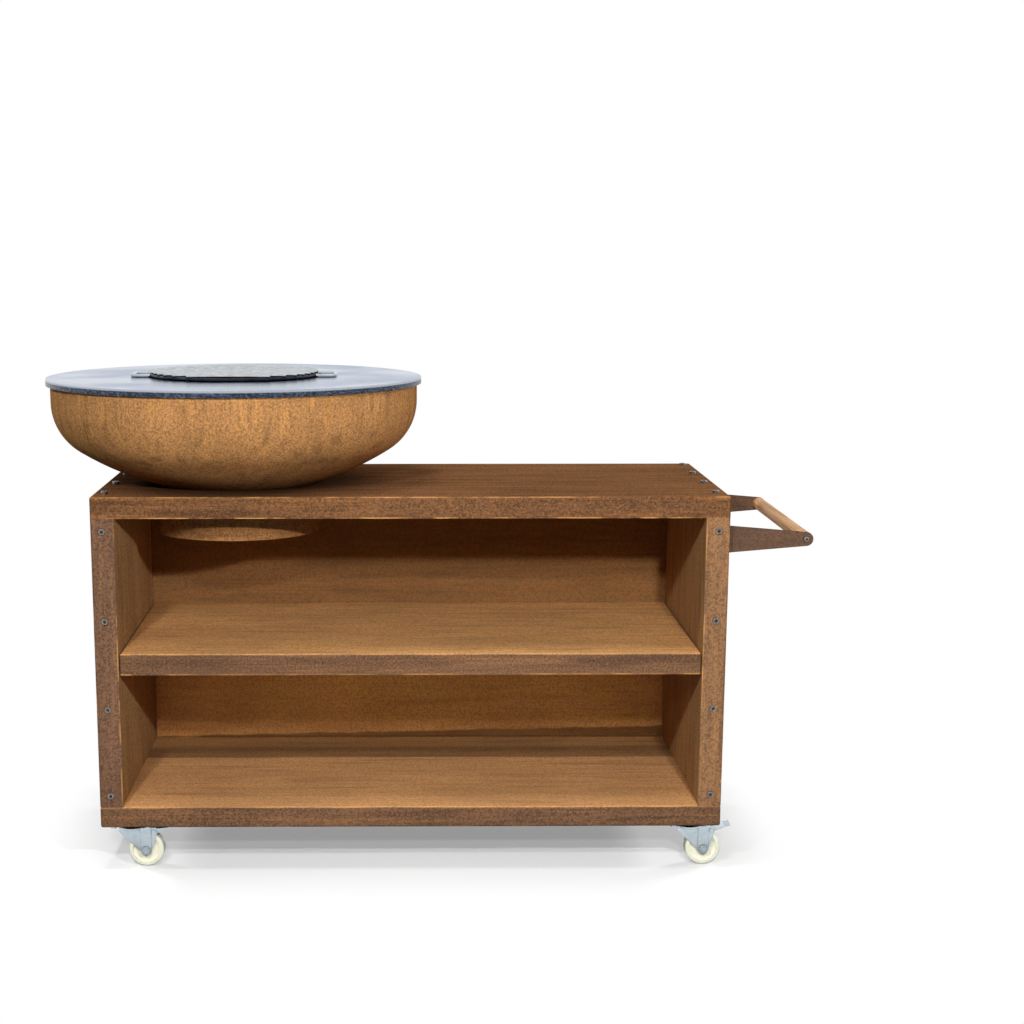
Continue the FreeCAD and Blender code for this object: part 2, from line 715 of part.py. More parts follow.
# Brake pedal, hung on a pin through the fork's ears, with a pad bar above the tread
pedal_half = leg_inside - side_gap
turn = math.radians(pedal_travel)
pad_x = pin_x + pad_ahead
pad_z = pin_z - pad_below
pressed_x = pin_x + pad_ahead * math.cos(turn) - pad_below * math.sin(turn)
pressed_z = pin_z - pad_ahead * math.sin(turn) - pad_below * math.cos(turn)
pad_radius = math.hypot(pressed_x - wheel_trail, pressed_z - axle_z) - wheel_radius - side_gap
tread_line = [
    (-pedal_eye_radius, pedal_tread_above),
    (pedal_bend, pedal_tread_above),
    (pedal_toe, pedal_toe_rise),
    (pedal_reach, pedal_rise),
]
tread_outline = tread_line + [(x, z - pedal_tread_sheet) for x, z in reversed(tread_line)]
cheek_outline = [
    (-pedal_eye_radius, pedal_tread_above - pedal_tread_sheet),
    (-pedal_eye_radius, 0),
    (pad_ahead, -pad_below),
    (pedal_toe, pedal_toe_rise - pedal_tread_sheet),
    (pedal_bend, pedal_tread_above - pedal_tread_sheet),
]


def pedal_slab(outline, y, thickness):
    """Slab across the castor with an outline drawn from the pedal's pin."""
    return prism([Vector(pin_x + x, y, pin_z + z) for x, z in outline], Vector(0, thickness, 0))


step = pedal_slab(tread_outline, -pedal_half, 2 * pedal_half)
cheeks = []
for y in (-pedal_half, pedal_half - pedal_cheek):
    cheeks.append(pedal_slab(cheek_outline, y, pedal_cheek))
    cheeks.append(rod(pedal_eye_radius, Vector(pin_x, y, pin_z), Vector(pin_x, y + pedal_cheek, pin_z)))
pad = rod(pad_radius, Vector(pad_x, -pedal_half, pad_z), Vector(pad_x, pedal_half, pad_z))
pedal = cut(fuse(step, pad, *cheeks), across_castor(brake_pin_radius + running_gap, pin_x, pin_z))
brake_pin = rod(brake_pin_radius, Vector(pin_x, -leg_outside, pin_z), Vector(pin_x, leg_outside, pin_z))
brake_pin = fuse(
    brake_pin,
    *[
        rod(
            brake_pin_head_radius,
            Vector(pin_x, sign * leg_outside, pin_z),
            Vector(pin_x, sign * (leg_outside + brake_pin_head_height), pin_z),
        )
        for sign in (-1, 1)
    ],
)

# One set of castor pieces at each corner
for corner, pivot in pivots:
    save(f"{corner}_castor_plate", mount_plate.translated(pivot))
    save(f"{corner}_castor_fork", fork.translated(pivot))
    save(f"{corner}_castor_axle", axle.translated(pivot), axle_nut.translated(pivot))
    save(f"{corner}_castor_wheel", wheel.translated(pivot))
    save(f"{corner}_castor_bush", bush.translated(pivot))
    save(f"{corner}_brake_pedal", pedal.translated(pivot))
    save(f"{corner}_brake_pin", brake_pin.translated(pivot))
save("castor_balls", *[ball.translated(pivot) for _, pivot in pivots for ball in balls])
save("castor_kingpins", *[kingpin.translated(pivot) for _, pivot in pivots])
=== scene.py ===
"""Looks of the outdoor kitchen island.

Rusted sheet, bright fastenings, a steel cooking plate, zinc castors and a wooden grip.
Metres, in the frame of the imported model: X along the island, Y from the open front to the back, Z up.
"""

import math

import bpy
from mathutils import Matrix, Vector


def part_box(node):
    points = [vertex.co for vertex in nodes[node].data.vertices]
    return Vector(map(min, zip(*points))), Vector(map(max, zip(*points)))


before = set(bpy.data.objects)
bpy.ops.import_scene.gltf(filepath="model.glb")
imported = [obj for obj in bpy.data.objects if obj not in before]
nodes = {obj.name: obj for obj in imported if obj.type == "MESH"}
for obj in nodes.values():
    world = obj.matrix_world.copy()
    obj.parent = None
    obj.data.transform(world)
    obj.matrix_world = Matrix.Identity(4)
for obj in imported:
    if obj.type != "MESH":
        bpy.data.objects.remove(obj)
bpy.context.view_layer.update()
scene = bpy.context.scene


# Worktop: one sheet of weathering steel folded down on all four sides, left to rust and then sealed.
# The rolled sheet rusts in long bands along its length, and its bends and cut edges are pale orange, partly
# rubbed and partly a painted highlight.
# The top is darker round the foot of the bowl, partly from heat and soot and partly as a painted shadow of
# the bowl.
def linear(code):
    """Linear colour of an sRGB hex value."""
    parts = [int(code[i : i + 2], 16) / 255 for i in (1, 3, 5)]
    return [p / 12.92 if p <= 0.04045 else ((p + 0.055) / 1.055) ** 2.4 for p in parts] + [1.0]


def add(tree, kind, inputs=(), **settings):
    """Adds a node, with its settings, and gives each input a value or a link."""
    made = tree.nodes.new(kind)
    for setting, value in settings.items():
        setattr(made, setting, value)
    for socket, value in dict(inputs).items():
        if isinstance(value, bpy.types.NodeSocket):
            tree.links.new(value, made.inputs[socket])
        else:
            made.inputs[socket].default_value = value
    return made


def new_material(name):
    material = bpy.data.materials.new(name)
    material.use_nodes = True
    tree = material.node_tree
    return material, tree, tree.nodes["Principled BSDF"]


def dress(material, *names):
    for name in names:
        nodes[name].data.materials.clear()
        nodes[name].data.materials.append(material)


def rust_tint(tree, place, along, tones, cover, streak):
    """Sealed rust: brown with darker drifts, orange bands along one axis, fine rolling lines and grit.

    The lines, the grit and the glints are drawn coarser than real ones, so that they show in the render.
    """
    pit, shade, brown, rust = tones
    masks = {}
    for mask, length, width, starts, full, most in (
        ("clouds", 0.30, 0.16, 0.36, 0.66, 0.50),
        ("drifts", 0.26, 0.024, 0.54, 0.70, 0.80),
        ("bands", *streak, 0.50, 0.72, cover),
        ("lines", 0.14, 0.0034, 0.50, 0.68, 0.60),
        ("grit", 0.0044, 0.0042, 0.46, 0.62, 0.54),
        ("glints", 0.0048, 0.0044, 0.52, 0.66, 0.46),
    ):
        size = [width] * 3
        size[along] = length
        scaled = add(tree, "ShaderNodeMapping", {"Vector": place, "Scale": [1 / s for s in size]})
        noise = add(tree, "ShaderNodeTexNoise", {"Vector": scaled.outputs[0], "Scale": 1.0, "Detail": 2.0})
        spread = {"Value": noise.outputs[0], "From Min": starts, "From Max": full, "To Max": most}
        masks[mask] = add(tree, "ShaderNodeMapRange", spread).outputs[0]
    colour = linear(brown)
    for mask, other in (
        ("clouds", shade),
        ("bands", rust),
        ("drifts", shade),
        ("lines", shade),
        ("glints", rust),
        ("grit", pit),
    ):
        mixed = add(tree, "ShaderNodeMix", {0: masks[mask], 6: colour, 7: linear(other)}, data_type="RGBA")
        colour = mixed.outputs[2]
    return colour, masks


def rub_and_highlight_edges(tree, place, colour, edges):
    """Lays a pale tint along the lines where planes (axis, position) meet, in patches: partly bare worn
    metal, partly painted highlight.
    """
    edge_full_reach = 0.0012
    edge_fade_reach = 0.0034
    patch_size = 0.055
    apart = add(tree, "ShaderNodeSeparateXYZ", {0: place})
    worn_and_lit = 0.0
    for planes in edges:
        line = 1.0
        for axis, at in planes:
            offset = add(tree, "ShaderNodeMath", {0: apart.outputs[axis], 1: at}, operation="SUBTRACT")
            away = add(tree, "ShaderNodeMath", {0: offset.outputs[0]}, operation="ABSOLUTE")
            near = {"Value": away.outputs[0], "From Min": edge_full_reach, "From Max": edge_fade_reach}
            near = add(tree, "ShaderNodeMapRange", {**near, "To Min": 1.0, "To Max": 0.0})
            line = {0: near.outputs[0], 1: line}
            line = add(tree, "ShaderNodeMath", line, operation="MINIMUM").outputs[0]
        worn_and_lit = add(tree, "ShaderNodeMath", {0: line, 1: worn_and_lit}, operation="MAXIMUM").outputs[0]
    edge_breaks = add(tree, "ShaderNodeTexNoise", {"Vector": place, "Scale": 1 / patch_size, "Detail": 4.0})
    patches = {"Value": edge_breaks.outputs[0], "From Min": 0.48, "From Max": 0.62, "To Max": 0.8}
    patches = add(tree, "ShaderNodeMapRange", patches)
    worn_and_lit = {0: worn_and_lit, 1: patches.outputs[0]}
    worn_and_lit = add(tree, "ShaderNodeMath", worn_and_lit, operation="MULTIPLY").outputs[0]
    # Pale orange along bends and cut edges: partly edge wear, partly painted highlight.
    bared_and_lit = {0: worn_and_lit, 6: colour, 7: linear("#cd9557")}
    return add(tree, "ShaderNodeMix", bared_and_lit, data_type="RGBA").outputs[2]


def seal(tree, shader, colour, masks):
    """Matt clear sealer over the rust, a little rougher where the rust is loose."""
    tree.links.new(colour, shader.inputs["Base Color"])
    gloss = {"Value": masks["bands"], "To Min": 0.62, "To Max": 0.85}
    tree.links.new(add(tree, "ShaderNodeMapRange", gloss).outputs[0], shader.inputs["Roughness"])
    bump = {"Height": masks["grit"], "Strength": 0.25, "Distance": 0.0004}
    tree.links.new(add(tree, "ShaderNodeBump", bump).outputs[0], shader.inputs["Normal"])
    shader.inputs["Specular IOR Level"].default_value = 0.0


def weathered_steel(name, along, tones, cover, streak=(0.45, 0.011), edges=(), upper=None, mark=None):
    """Rust in one set of tones, or with other tones and a mark on the faces that look up."""
    material, tree, shader = new_material(name)
    place = add(tree, "ShaderNodeTexCoord").outputs["Object"]
    colour, masks = rust_tint(tree, place, along, tones, cover, streak)
    if upper:
        top, masks = rust_tint(tree, place, along, upper, cover, streak)
        if mark:
            top = mark(tree, place, top)
        normal = add(tree, "ShaderNodeNewGeometry").outputs["Normal"]
        facing = add(tree, "ShaderNodeSeparateXYZ", {0: normal})
        looks_up = {"Value": facing.outputs[Z], "From Min": 0.4, "From Max": 0.9}
        looks_up = add(tree, "ShaderNodeMapRange", looks_up)
        colour = {0: looks_up.outputs[0], 6: colour, 7: top}
        colour = add(tree, "ShaderNodeMix", colour, data_type="RGBA").outputs[2]
    if edges:
        colour = rub_and_highlight_edges(tree, place, colour, edges)
    seal(tree, shader, colour, masks)
    return material


def level_reach(tree, place, middle):
    """Distance from the upright line through a point."""
    flat = add(tree, "ShaderNodeVectorMath", {0: place, 1: (1.0, 1.0, 0.0)}, operation="MULTIPLY")
    ends = {0: flat.outputs[0], 1: (middle.x, middle.y, 0.0)}
    return add(tree, "ShaderNodeVectorMath", ends, operation="DISTANCE").outputs["Value"]


def scorch_and_shadow(tree, place, colour):
    """Darkens the sheet round the foot of the bowl: partly scorch, partly a painted shadow of the bowl."""
    reach = level_reach(tree, place, bowl_middle)
    darkening = {"Value": reach, "From Min": darkest_radius, "From Max": undarkened_radius}
    darkening = {**darkening, "To Min": 0.8, "To Max": 0.0}
    darkening = add(tree, "ShaderNodeMapRange", darkening, interpolation_type="SMOOTHSTEP")
    darkening = {0: darkening.outputs[0], 6: colour, 7: linear("#21170f")}
    return add(tree, "ShaderNodeMix", darkening, data_type="RGBA").outputs[2]


X, Y, Z = 0, 1, 2
low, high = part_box("worktop")
worktop_edges = [
    [(Y, low.y), (Z, high.z)],
    [(Y, high.y), (Z, high.z)],
    [(X, low.x), (Z, high.z)],
    [(X, high.x), (Z, high.z)],
    [(Z, low.z)],
]
bowl_low, bowl_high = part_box("fire_bowl")
bowl_middle = (bowl_low + bowl_high) / 2
# The darker ring round the bowl is partly scorch and partly a painted shadow of the bowl.
darkest_radius = 0.20
undarkened_radius = 0.42
lip_tones = ("#3f2d20", "#573d2b", "#7e583c", "#a8713d")
top_tones = ("#443122", "#5e422e", "#885f41", "#b57a42")
worktop_steel = weathered_steel(
    "worktop_weathering_steel", X, lip_tones, cover=0.6, edges=worktop_edges, upper=top_tones, mark=scorch_and_shadow
)
dress(worktop_steel, "worktop")


# Bottom tray: a second folded sheet, the floor of the lower compartment, whose lips turn in again underneath.
# Two folded channels inside its ends spread the load of the castors. The sheltered floor is golden and is
# painted paler than its lips as well, as painted light, and a dark strip near the back is a painted shadow of
# the shelf.
def paint_shelf_shadow(tree, place, colour):
    """Lays the painted shadow of the shelf, a dark strip which is paler again towards the back."""
    from_front = add(tree, "ShaderNodeSeparateXYZ", {0: place}).outputs[Y]
    shade_share = {"Value": from_front, "From Min": shadow_start - shadow_blur, "From Max": shadow_start + shadow_blur}
    shade_share = add(tree, "ShaderNodeMapRange", {**shade_share, "To Max": 0.56})
    shade_fade = {"Value": from_front, "From Min": shadow_start + shadow_full_width, "From Max": shadow_start + shadow_fade_width}
    shade_fade = add(tree, "ShaderNodeMapRange", {**shade_fade, "To Min": 1.0, "To Max": 0.4})
    shade_share = {0: shade_share.outputs[0], 1: shade_fade.outputs[0]}
    shade_share = add(tree, "ShaderNodeMath", shade_share, operation="MULTIPLY")
    shade_share = {0: shade_share.outputs[0], 6: colour, 7: linear("#3a2716")}
    return add(tree, "ShaderNodeMix", shade_share, data_type="RGBA").outputs[2]


low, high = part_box("bottom_tray")
tray_edges = [[(Y, low.y), (Z, high.z)], [(Y, low.y), (Z, low.z)]]
# Painted shadow of the shelf: a dark strip across the back of the floor, paler again towards the back.
shadow_from_back = 0.195
shadow_start = high.y - shadow_from_back
shadow_blur = 0.004
shadow_full_width = 0.08
shadow_fade_width = 0.11
sheltered_lip_tones = ("#3c2d23", "#584234", "#7c5c45", "#a07046")
# The floor's tones are partly golden patina and partly painted light, paler than its lips to stand in for
# light.
patina_and_light_floor_tones = ("#8a6543", "#ad7f56", "#dca36e", "#e3a860")
fine_streak = (0.40, 0.007)
tray_steel = weathered_steel(
    "tray_weathering_steel", X, sheltered_lip_tones, cover=0.6, streak=fine_streak, edges=tray_edges,
    upper=patina_and_light_floor_tones, mark=paint_shelf_shadow
)
dress(tray_steel, "bottom_tray", "left_castor_rail", "right_castor_rail")

# Side panels: the outer skins of the hollow ends, folded round to the front as the posts.
# Their sheet stands upright, so its bands run up and down, and the posts' cut edges are bright, partly rubbed
# and partly a painted highlight.
for side, panel_tones in (
    ("left", ("#42322a", "#5f473a", "#82614b", "#a1734c")),
    ("right", ("#523d2e", "#735641", "#9a7352", "#b8824e")),
):
    low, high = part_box(f"{side}_side_panel")
    post_edges = [[(X, low.x), (Y, low.y)], [(X, high.x), (Y, low.y)], [(Y, high.y), (X, low.x)]]
    panel_steel = weathered_steel(
        f"{side}_panel_weathering_steel", Z, panel_tones, cover=0.5, streak=(0.30, 0.013), edges=post_edges
    )
    dress(panel_steel, f"{side}_side_panel")

# Side liners: the inner walls of the compartments, folded boxes that carry the worktop.
# They see little rain, so their rust is even and golden with fine upright runs.
liner_tones = ("#6b5037", "#8a6848", "#bd9164", "#cb985c")
liner_steel = weathered_steel("liner_weathering_steel", Z, liner_tones, cover=0.6, streak=(0.35, 0.006))
dress(liner_steel, "left_side_liner", "right_side_liner")

# Back panel: one flat sheet bolted over the back flanges, with a short return along the floor.
# Outside it faces the weather, bright orange rust with long dark drifts. Inside it is an even brown, painted
# darker behind the upper compartment as painted shade, and more orange and brighter behind the lower, partly
# its own tone and partly painted light, with a wavy stain along the floor that rises to the right.
low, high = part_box("back_panel")
shelf_low, shelf_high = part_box("middle_shelf")
back_steel, tree, shader = new_material("back_weathering_steel")
place = add(tree, "ShaderNodeTexCoord").outputs["Object"]
apart = add(tree, "ShaderNodeSeparateXYZ", {0: place})
outside_tones = ("#5a4332", "#72553f", "#b0793f", "#c78c3c")
outside, outside_masks = rust_tint(tree, place, X, outside_tones, cover=0.9, streak=(0.55, 0.022))
# Painted shade and light: the upper inside tones are darker and the lower ones brighter than the steel's own
# tone.
upper_tones_and_shade = ("#6a4d32", "#7b593a", "#986c43", "#a06d3c")
upper_tint_and_shade = rust_tint(tree, place, X, upper_tones_and_shade, cover=0.3, streak=(0.60, 0.060))[0]
lower_tones_and_light = ("#7c5029", "#a26d3e", "#bd834d", "#cf8f4c")
lower_tint_and_light = rust_tint(tree, place, X, lower_tones_and_light, cover=0.4, streak=(0.30, 0.120))[0]
below = {"Value": apart.outputs[Z], "From Min": shelf_low.z, "From Max": shelf_high.z}
below = add(tree, "ShaderNodeMapRange", {**below, "To Min": 1.0, "To Max": 0.0})
inside = {0: below.outputs[0], 6: upper_tint_and_shade, 7: lower_tint_and_light}
inside = add(tree, "ShaderNodeMix", inside, data_type="RGBA").outputs[2]
wave_length = 0.11
wave_low = -0.006
wave_high = 0.010
stain_rise = 0.026
stain_blur = 0.002
wave = add(tree, "ShaderNodeMapping", {"Vector": place, "Scale": [1 / wave_length, 0.0, 0.0]})
wave = add(tree, "ShaderNodeTexNoise", {"Vector": wave.outputs[0], "Scale": 1.0, "Detail": 4.0})
wave = add(tree, "ShaderNodeMapRange", {"Value": wave.outputs[0], "To Min": wave_low, "To Max": wave_high})
tide = {"Value": apart.outputs[X], "From Min": low.x, "From Max": high.x}
tide = add(tree, "ShaderNodeMapRange", {**tide, "To Min": low.z, "To Max": low.z + stain_rise})
tide = add(tree, "ShaderNodeMath", {0: tide.outputs[0], 1: wave.outputs[0]}, operation="ADD")
above = add(tree, "ShaderNodeMath", {0: apart.outputs[Z], 1: tide.outputs[0]}, operation="SUBTRACT")
stain = {"Value": above.outputs[0], "From Min": -stain_blur, "From Max": stain_blur}
stain = add(tree, "ShaderNodeMapRange", {**stain, "To Min": 0.8, "To Max": 0.0})
inside = {0: stain.outputs[0], 6: inside, 7: linear("#4c331d")}
inside = add(tree, "ShaderNodeMix", inside, data_type="RGBA").outputs[2]
panel_sheet = 0.003
sheet_middle = high.y - panel_sheet / 2
face_blur = 0.0003
faces = {"From Min": sheet_middle - face_blur, "From Max": sheet_middle + face_blur}
faces = add(tree, "ShaderNodeMapRange", {"Value": apart.outputs[Y], **faces})
tint = add(tree, "ShaderNodeMix", {0: faces.outputs[0], 6: inside, 7: outside}, data_type="RGBA")
seal(tree, shader, tint.outputs[2], outside_masks)
dress(back_steel, "back_panel")

# Middle shelf: a folded sheet bolted to the liners through its end lips.
# Its rolling lines run along the island, and its front bend is rubbed bright by what slides over it and
# carries a painted highlight.
low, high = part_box("middle_shelf")
shelf_edges = [[(Y, low.y), (Z, high.z)], [(Z, low.z), (Y, low.y)]]
# The shelf top's tones are partly golden patina and partly painted light, paler than its lips to stand in for
# light.
patina_and_light_shelf_tones = ("#87653f", "#ad8055", "#e0a66d", "#e6aa60")
shelf_steel = weathered_steel(
    "shelf_weathering_steel", X, sheltered_lip_tones, cover=0.6, streak=fine_streak, edges=shelf_edges,
    upper=patina_and_light_shelf_tones
)
dress(shelf_steel, "middle_shelf")

# Handle arms: tapered flat bars with bent feet, bolted to the right end of the cabinet.
# They are of the same steel with a smoother, darker skin from being handled.
arm_tones = ("#503d33", "#594539", "#6b5141", "#785a42")
arm_steel = weathered_steel("arm_weathering_steel", X, arm_tones, cover=0.2, streak=(0.12, 0.012))
dress(arm_steel, "handle_front_arm", "handle_rear_arm")


# Bolts: stainless button heads with a hexagon socket, each with its nut behind the sheets.
# They are turned and polished, so their domes are bright, and painted shade darkens the socket and the head's
# foot.
# The balls in the castors' races have the same finish.
def bright_metal(name, patch_size, detail, tints, gloss, corner_shade=None):
    """Metal whose tint and gloss drift in patches, with painted shade of one tint and reach in its corners.
    """
    material, tree, shader = new_material(name)
    place = add(tree, "ShaderNodeTexCoord").outputs["Object"]
    drift = add(tree, "ShaderNodeTexNoise", {"Vector": place, "Scale": 1 / patch_size, "Detail": detail})
    tint = {0: drift.outputs[0], 6: linear(tints[0]), 7: linear(tints[1])}
    tint = add(tree, "ShaderNodeMix", tint, data_type="RGBA").outputs[2]
    # Painted shade: the tint darkens where ambient occlusion finds corners and recesses.
    if corner_shade:
        shade_tint, reach, shut, clear = corner_shade
        corner = add(tree, "ShaderNodeAmbientOcclusion", {"Distance": reach}, samples=8).outputs["AO"]
        open_share = add(tree, "ShaderNodeMapRange", {"Value": corner, "From Min": shut, "From Max": clear})
        tint = {0: open_share.outputs[0], 6: linear(shade_tint), 7: tint}
        tint = add(tree, "ShaderNodeMix", tint, data_type="RGBA").outputs[2]
    tree.links.new(tint, shader.inputs["Base Color"])
    rough = {"Value": drift.outputs[0], "From Min": 0.3, "From Max": 0.7}
    rough = add(tree, "ShaderNodeMapRange", {**rough, "To Min": gloss[0], "To Max": gloss[1]})
    tree.links.new(rough.outputs[0], shader.inputs["Roughness"])
    shader.inputs["Metallic"].default_value = 1.0
    return material


bolt_steel = bright_metal(
    "stainless_bolt_steel", patch_size=0.004, detail=2.0, tints=("#5c5753", "#bdb8b3"), gloss=(0.16, 0.34),
    corner_shade=("#15110e", 0.004, 0.40, 0.85)
)
dress(
    bolt_steel, "front_post_bolts", "back_panel_bolts", "worktop_bolts", "tray_bolts", "shelf_bolts",
    "handle_grip_screws", "handle_arm_bolts", "castor_balls"
)

# Grip: a turned and oiled beech bar held by a screw through each arm.
# Its grain runs along the bar, with darker pores, drawn coarser than real ones, between pale growth lines.
growth_size = (0.007, 0.24, 0.007)
pore_size = (0.0030, 0.040, 0.0030)
grip_wood, tree, shader = new_material("oiled_beech")
place = add(tree, "ShaderNodeTexCoord").outputs["Object"]
scaled = add(tree, "ShaderNodeMapping", {"Vector": place, "Scale": [1 / s for s in growth_size]})
growth = {"Vector": scaled.outputs[0], "Scale": 1.0, "Detail": 1.0, "Distortion": 0.4}
growth = add(tree, "ShaderNodeTexNoise", growth)
scaled = add(tree, "ShaderNodeMapping", {"Vector": place, "Scale": [1 / s for s in pore_size]})
pores = add(tree, "ShaderNodeTexNoise", {"Vector": scaled.outputs[0], "Scale": 1.0, "Detail": 1.0})
rings = {"Value": growth.outputs[0], "From Min": 0.35, "From Max": 0.68}
rings = add(tree, "ShaderNodeMapRange", rings)
tint = {0: rings.outputs[0], 6: linear("#dcae82"), 7: linear("#b38257")}
tint = add(tree, "ShaderNodeMix", tint, data_type="RGBA")
flecks = {"Value": pores.outputs[0], "From Min": 0.58, "From Max": 0.75, "To Max": 0.5}
flecks = add(tree, "ShaderNodeMapRange", flecks)
tint = {0: flecks.outputs[0], 6: tint.outputs[2], 7: linear("#8a6242")}
tint = add(tree, "ShaderNodeMix", tint, data_type="RGBA")
tree.links.new(tint.outputs[2], shader.inputs["Base Color"])
bump = {"Height": pores.outputs[0], "Strength": 0.05, "Distance": 0.0003}
tree.links.new(add(tree, "ShaderNodeBump", bump).outputs[0], shader.inputs["Normal"])
shader.inputs["Roughness"].default_value = 0.55
shader.inputs["Specular IOR Level"].default_value = 0.15
dress(grip_wood, "handle_grip")

# Fire bowl: a pressed weathering-steel dish with a ring welded under it that drops through the worktop.
# It rusts evenly, golden and speckled, with faint runs down its side.
bowl_tones = ("#64482e", "#8a6440", "#c08b58", "#d79a55")
bowl_steel = weathered_steel("bowl_weathering_steel", Z, bowl_tones, cover=0.5, streak=(0.09, 0.030))
dress(bowl_steel, "fire_bowl")
spigot_tones = ("#5e4225", "#7d5836", "#ab784c", "#c2874b")
spigot_steel = weathered_steel("spigot_weathering_steel", X, spigot_tones, cover=0.4, streak=(0.05, 0.012))
dress(spigot_steel, "bowl_spigot")

# Cooking plate: a thick ring cut from hot-rolled plate, oiled and burnished by use, with lugs under it.
# The top mirrors the room softly in blue-grey, and the cut rim is dark below a painted highlight along its
# upper edge.
low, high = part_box("cooking_plate")
plate_middle = (low + high) / 2
plate_radius = (high.x - low.x) / 2
film_size = 0.22
nick_size = (0.006, 0.006, 0.003)
plate_steel, tree, shader = new_material("oiled_plate_steel")
place = add(tree, "ShaderNodeTexCoord").outputs["Object"]
films = add(tree, "ShaderNodeTexNoise", {"Vector": place, "Scale": 1 / film_size, "Detail": 4.0})
films = {"Value": films.outputs[0], "From Min": 0.38, "From Max": 0.64}
films = add(tree, "ShaderNodeMapRange", films).outputs[0]
tint = {0: films, 6: linear("#a8b4c7"), 7: linear("#8fa0bc")}
tint = add(tree, "ShaderNodeMix", tint, data_type="RGBA").outputs[2]
scaled = add(tree, "ShaderNodeMapping", {"Vector": place, "Scale": [1 / s for s in nick_size]})
nicks = add(tree, "ShaderNodeTexNoise", {"Vector": scaled.outputs[0], "Scale": 1.0, "Detail": 3.0})
nicks = {"Value": nicks.outputs[0], "From Min": 0.45, "From Max": 0.72}
nicks = add(tree, "ShaderNodeMapRange", nicks).outputs[0]
cut_edge = {0: nicks, 6: linear("#333a46"), 7: linear("#76829a")}
cut_edge = add(tree, "ShaderNodeMix", cut_edge, data_type="RGBA").outputs[2]
height = add(tree, "ShaderNodeSeparateXYZ", {0: place}).outputs[Z]
# Painted highlight: a pale band along the top of the cut rim.
rim_highlight_starts = high.z - 0.0055
rim_highlight_full = high.z - 0.0035
rim_highlight = {"Value": height, "From Min": rim_highlight_starts, "From Max": rim_highlight_full, "To Max": 0.85}
rim_highlight = add(tree, "ShaderNodeMapRange", rim_highlight).outputs[0]
cut_edge = {0: rim_highlight, 6: cut_edge, 7: linear("#c6ccd8")}
cut_edge = add(tree, "ShaderNodeMix", cut_edge, data_type="RGBA").outputs[2]
rim_starts = plate_radius - 0.0018
rim_full = plate_radius - 0.0006
reach = level_reach(tree, place, plate_middle)
rim = add(tree, "ShaderNodeMapRange", {"Value": reach, "From Min": rim_starts, "From Max": rim_full})
tint = {0: rim.outputs[0], 6: tint, 7: cut_edge}
tint = add(tree, "ShaderNodeMix", tint, data_type="RGBA")
tree.links.new(tint.outputs[2], shader.inputs["Base Color"])
gloss = add(tree, "ShaderNodeMapRange", {"Value": films, "To Min": 0.20, "To Max": 0.32})
tree.links.new(gloss.outputs[0], shader.inputs["Roughness"])
shader.inputs["Metallic"].default_value = 1.0
dress(plate_steel, "cooking_plate", "plate_lugs")

# Grill grate: stainless rods welded into a ring with bars and two loop handles, lifted out as one.
# The rods are drawn and polished, so they show bright lines along them over the dark bowl.
rod_steel = bright_metal(
    "polished_stainless_rod", patch_size=0.015, detail=2.0, tints=("#979da2", "#e2e6e9"), gloss=(0.16, 0.28)
)
dress(rod_steel, "grate_bars", "grate_handles")

# Grate ring: the rod that carries the bars, which hangs lowest over the fire.
# The heat has turned it blue-black, with a little soot in patches.
ring_steel = bright_metal(
    "heat_darkened_rod", patch_size=0.030, detail=3.0, tints=("#10131b", "#3a4254"), gloss=(0.55, 0.30)
)
dress(ring_steel, "grate_ring")

# Castor forks, plates, axles and pedals: pressed steel with bright zinc plating.
# The plating is a cool silver with a faint cloudy bloom, and painted shade darkens its corners.
zinc_steel = bright_metal(
    "bright_zinc_plating", patch_size=0.025, detail=1.0, tints=("#aec3ce", "#ecf6fa"), gloss=(0.18, 0.32),
    corner_shade=("#1c2124", 0.010, 0.30, 0.80)
)
corners = [f"{end}_{side}" for end in ("front", "back") for side in ("left", "right")]
plated = ("castor_plate", "castor_fork", "castor_axle", "castor_bush", "brake_pedal", "brake_pin")
dress(zinc_steel, "castor_kingpins", "castor_mount_bolts")
dress(zinc_steel, *[f"{corner}_{piece}" for corner in corners for piece in plated])

# Castor wheels: solid discs of moulded nylon that turn on a steel bush.
# The plastic is off-white and waxy, with faint yellowed scuffs on the tread.
scuff_size = 0.006
wheel_nylon, tree, shader = new_material("moulded_nylon")
place = add(tree, "ShaderNodeTexCoord").outputs["Object"]
scuffs = add(tree, "ShaderNodeTexNoise", {"Vector": place, "Scale": 1 / scuff_size, "Detail": 3.0})
scuffs = {"Value": scuffs.outputs[0], "From Min": 0.5, "From Max": 0.75, "To Max": 0.35}
scuffs = add(tree, "ShaderNodeMapRange", scuffs).outputs[0]
tint = {0: scuffs, 6: linear("#f4f3df"), 7: linear("#dcd7b4")}
tint = add(tree, "ShaderNodeMix", tint, data_type="RGBA")
tree.links.new(tint.outputs[2], shader.inputs["Base Color"])
shader.inputs["Roughness"].default_value = 0.38
dress(wheel_nylon, *[f"{corner}_castor_wheel" for corner in corners])

